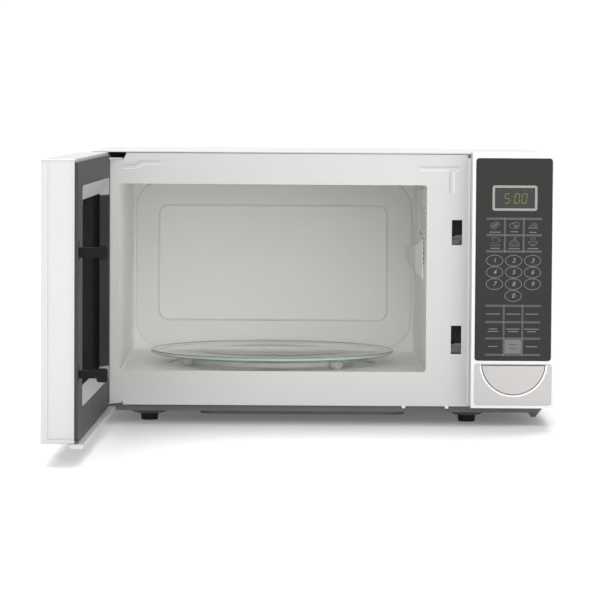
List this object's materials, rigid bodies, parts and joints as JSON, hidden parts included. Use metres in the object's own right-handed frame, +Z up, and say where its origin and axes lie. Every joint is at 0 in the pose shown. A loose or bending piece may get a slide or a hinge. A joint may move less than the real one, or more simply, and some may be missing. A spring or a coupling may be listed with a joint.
{
  "type": "microwave oven",
  "caption": "Countertop microwave oven with an open side-hinged door, glass turntable on a roller ring, twin latch hooks, keypad panel and half-round door button.",
  "frame": {"origin": "bottom centre of the bounding box of the oven with its door standing open; z = 0 is the underside of the feet", "axes": "+X to the oven's right as seen from the front, +Y to its rear, +Z up"},
  "size_m": [0.47, 0.685, 0.2652],
  "materials": {
    "white_enamel": "satin enamel",
    "cavity_enamel": "gloss enamel",
    "cover_paint": "satin paint",
    "zinc_steel": "zinc-coated sheet",
    "bright_steel": "zinc plated",
    "foot_rubber": "matt",
    "white_abs": "satin moulding",
    "keypad_film": "printed film",
    "bezel_grey": "satin",
    "display_tint": "tinted clear",
    "display_black": "matt",
    "board_green": "solder mask",
    "trim_grey": "satin",
    "latch_white": "moulded",
    "switch_black": "moulded",
    "plunger_red": "moulded",
    "magnetron_steel": "plated",
    "transformer_iron": "varnished",
    "capacitor_can": "bare",
    "diode_body": "moulded",
    "lamp_glass": "clear",
    "waveguide_white": "mica board",
    "fan_white": "moulded",
    "coupler_dark": "moulded",
    "tray_glass": "clear float glass",
    "ring_white": "moulded",
    "choke_dark": "fine texture",
    "window_smoke": "smoked gloss",
    "latch_black": "moulded",
    "spring_steel": "bright wire"
  },
  "bodies": {
    "cabinet": {"air_duct": "zinc_steel", "base_plate": "zinc_steel", "control_board": "board_green", "control_panel_frame": "white_abs", "cord_gland": "foot_rubber", "cover_screws": "bright_steel", "display_bezel": "bezel_grey", "display_module": "display_black", "display_window": "display_tint", "fan_motor": "transformer_iron", "fan_shroud": "switch_black", "foot_front_left": "foot_rubber", "foot_front_right": "foot_rubber", "foot_rear_left": "foot_rubber", "foot_rear_right": "foot_rubber", "front_plate": "white_enamel", "hv_capacitor": "capacitor_can", "hv_diode": "diode_body", "hv_transformer": "transformer_iron", "keypad_overlay": "keypad_film", "lamp_holder": "zinc_steel", "latch_board": "latch_white", "lower_hinge": "bright_steel", "lower_trim": "trim_grey", "magnetron": "magnetron_steel", "noise_filter": "board_green", "outer_cover": "cover_paint", "oven_cavity": "cavity_enamel", "oven_lamp": "lamp_glass", "rear_panel": "zinc_steel", "switch_lower": "switch_black", "switch_monitor": "switch_black", "switch_upper": "switch_black", "thermal_cutout": "diode_body", "turntable_motor": "magnetron_steel", "upper_hinge": "bright_steel", "waveguide": "zinc_steel", "waveguide_cover": "waveguide_white"},
    "door": {"door_frame": "white_abs", "door_outer_window": "window_smoke", "door_shield": "zinc_steel", "choke_cover": "choke_dark", "window_bezel": "bezel_grey", "inner_window": "window_smoke", "latch_spring": "spring_steel"},
    "latch": {"door_latch": "latch_black"},
    "button": {"door_button": "trim_grey"},
    "release": {"release_lever": "latch_white"},
    "turntable": {"glass_turntable": "tray_glass", "turntable_coupler": "coupler_dark"},
    "ring": {"roller_ring": "ring_white"},
    "roller_a": {"roller_1": "ring_white"},
    "roller_b": {"roller_2": "ring_white"},
    "roller_c": {"roller_3": "ring_white"},
    "fan": {"fan_blades": "fan_white"},
    "plunger_top": {"plunger_upper": "plunger_red"},
    "plunger_bottom": {"plunger_lower": "plunger_red"}
  },
  "joints": [
    {"name": "door_swing", "type": "hinge", "parent": "cabinet", "child": "door", "pos_m": [-0.20255, 0.01253, 0.14], "axis": [0, 0, 1], "range_deg": [-9, 91.6]},
    {"name": "latch_lift", "type": "slide", "parent": "door", "child": "latch", "axis": [0, 0, 1], "range_m": [-0.0028, 0.005], "stiffness_N_per_m": 400, "springref_m": 0.0005, "deforming": ["latch_spring"]},
    {"name": "button_press", "type": "slide", "parent": "cabinet", "child": "button", "axis": [0, 1, 0], "range_m": [0, 0.004], "stiffness_N_per_m": 600, "springref_m": -0.0005},
    {"name": "release_tilt", "type": "hinge", "parent": "cabinet", "child": "release", "pos_m": [0.15995, 0.03153, 0.057], "axis": [1, 0, 0], "range_deg": [0, 28.1]},
    {"name": "turntable_spin", "type": "hinge", "parent": "cabinet", "child": "turntable", "pos_m": [-0.03755, 0.16903, 0.0578], "axis": [0, 0, 1], "continuous": true},
    {"name": "ring_roll", "type": "hinge", "parent": "cabinet", "child": "ring", "pos_m": [-0.03755, 0.16903, 0.0524], "axis": [0, 0, 1], "continuous": true},
    {"name": "fan_spin", "type": "hinge", "parent": "cabinet", "child": "fan", "pos_m": [0.17495, 0.29653, 0.16], "axis": [0, 1, 0], "continuous": true},
    {"name": "plunger_top_press", "type": "slide", "parent": "cabinet", "child": "plunger_top", "axis": [0, 1, 0], "range_m": [0, 0.002], "stiffness_N_per_m": 300, "springref_m": -0.0003},
    {"name": "plunger_bottom_press", "type": "slide", "parent": "cabinet", "child": "plunger_bottom", "axis": [0, 1, 0], "range_m": [0, 0.002], "stiffness_N_per_m": 300, "springref_m": -0.0003},
    {"name": "roller_a_spin", "type": "hinge", "parent": "ring", "child": "roller_a", "pos_m": [-0.01626, 0.25441, 0.0524], "axis": [0.2419, 0.9703, 0], "continuous": true},
    {"name": "roller_b_spin", "type": "hinge", "parent": "ring", "child": "roller_b", "pos_m": [-0.12214, 0.14477, 0.0524], "axis": [-0.9613, -0.2756, 0], "continuous": true},
    {"name": "roller_c_spin", "type": "hinge", "parent": "ring", "child": "roller_c", "pos_m": [0.02575, 0.1079, 0.0524], "axis": [0.7193, -0.6947, 0], "continuous": true}
  ],
  "couplings": [
    {"joint": "release_tilt", "follows": "button_press", "rad_per_m": 122.17},
    {"joint": "ring_roll", "follows": "turntable_spin", "ratio": 0.5},
    {"joint": "roller_a_spin", "follows": "turntable_spin", "ratio": -8.8},
    {"joint": "roller_b_spin", "follows": "turntable_spin", "ratio": -8.8},
    {"joint": "roller_c_spin", "follows": "turntable_spin", "ratio": -8.8}
  ]
}
